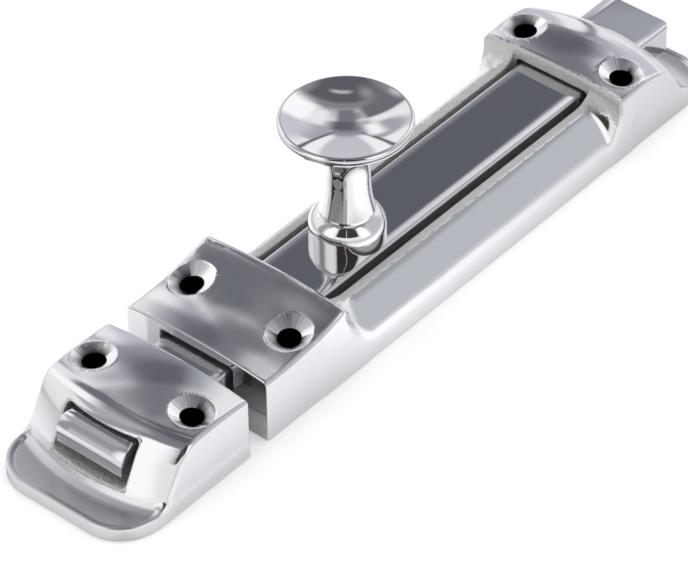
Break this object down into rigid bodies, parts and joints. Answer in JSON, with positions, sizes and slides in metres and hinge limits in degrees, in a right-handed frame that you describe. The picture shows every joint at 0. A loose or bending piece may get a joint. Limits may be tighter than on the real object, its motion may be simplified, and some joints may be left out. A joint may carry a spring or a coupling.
{
  "type": "slide bolt",
  "caption": "Heavy cast slide bolt: a flat bar with a turned knob slides through two guide blocks of a ribbed case into a separate cast keep.",
  "frame": {"origin": "on the mounting face, under the middle of the whole bolt with its bar thrown as in the picture", "axes": "+X along the bar from the keep to the tail, +Y across the castings, +Z out of the mounting face towards the knob"},
  "size_m": [0.1924, 0.038, 0.0442],
  "materials": {
    "casting": "mirror polished plate over cast brass",
    "bar": "mirror polished plate over brass bar",
    "knob": "mirror polished plate over turned brass",
    "steel": "turned",
    "bronze": "rolled strip"
  },
  "bodies": {
    "case": {"case": "casting", "stop_pin": "steel", "friction_spring": "bronze"},
    "bar": {"bolt_bar": "bar", "knob": "knob", "knob_screw": "steel"},
    "keep": {"keep": "casting"}
  },
  "joints": [
    {"name": "bolt_slide", "type": "slide", "parent": "case", "child": "bar", "axis": [1, 0, 0], "range_m": [-0.0134, 0.034]},
    {"name": "keep_part", "type": "slide", "parent": "case", "child": "keep", "axis": [-1, 0, 0], "range_m": [0, 0.03]}
  ]
}
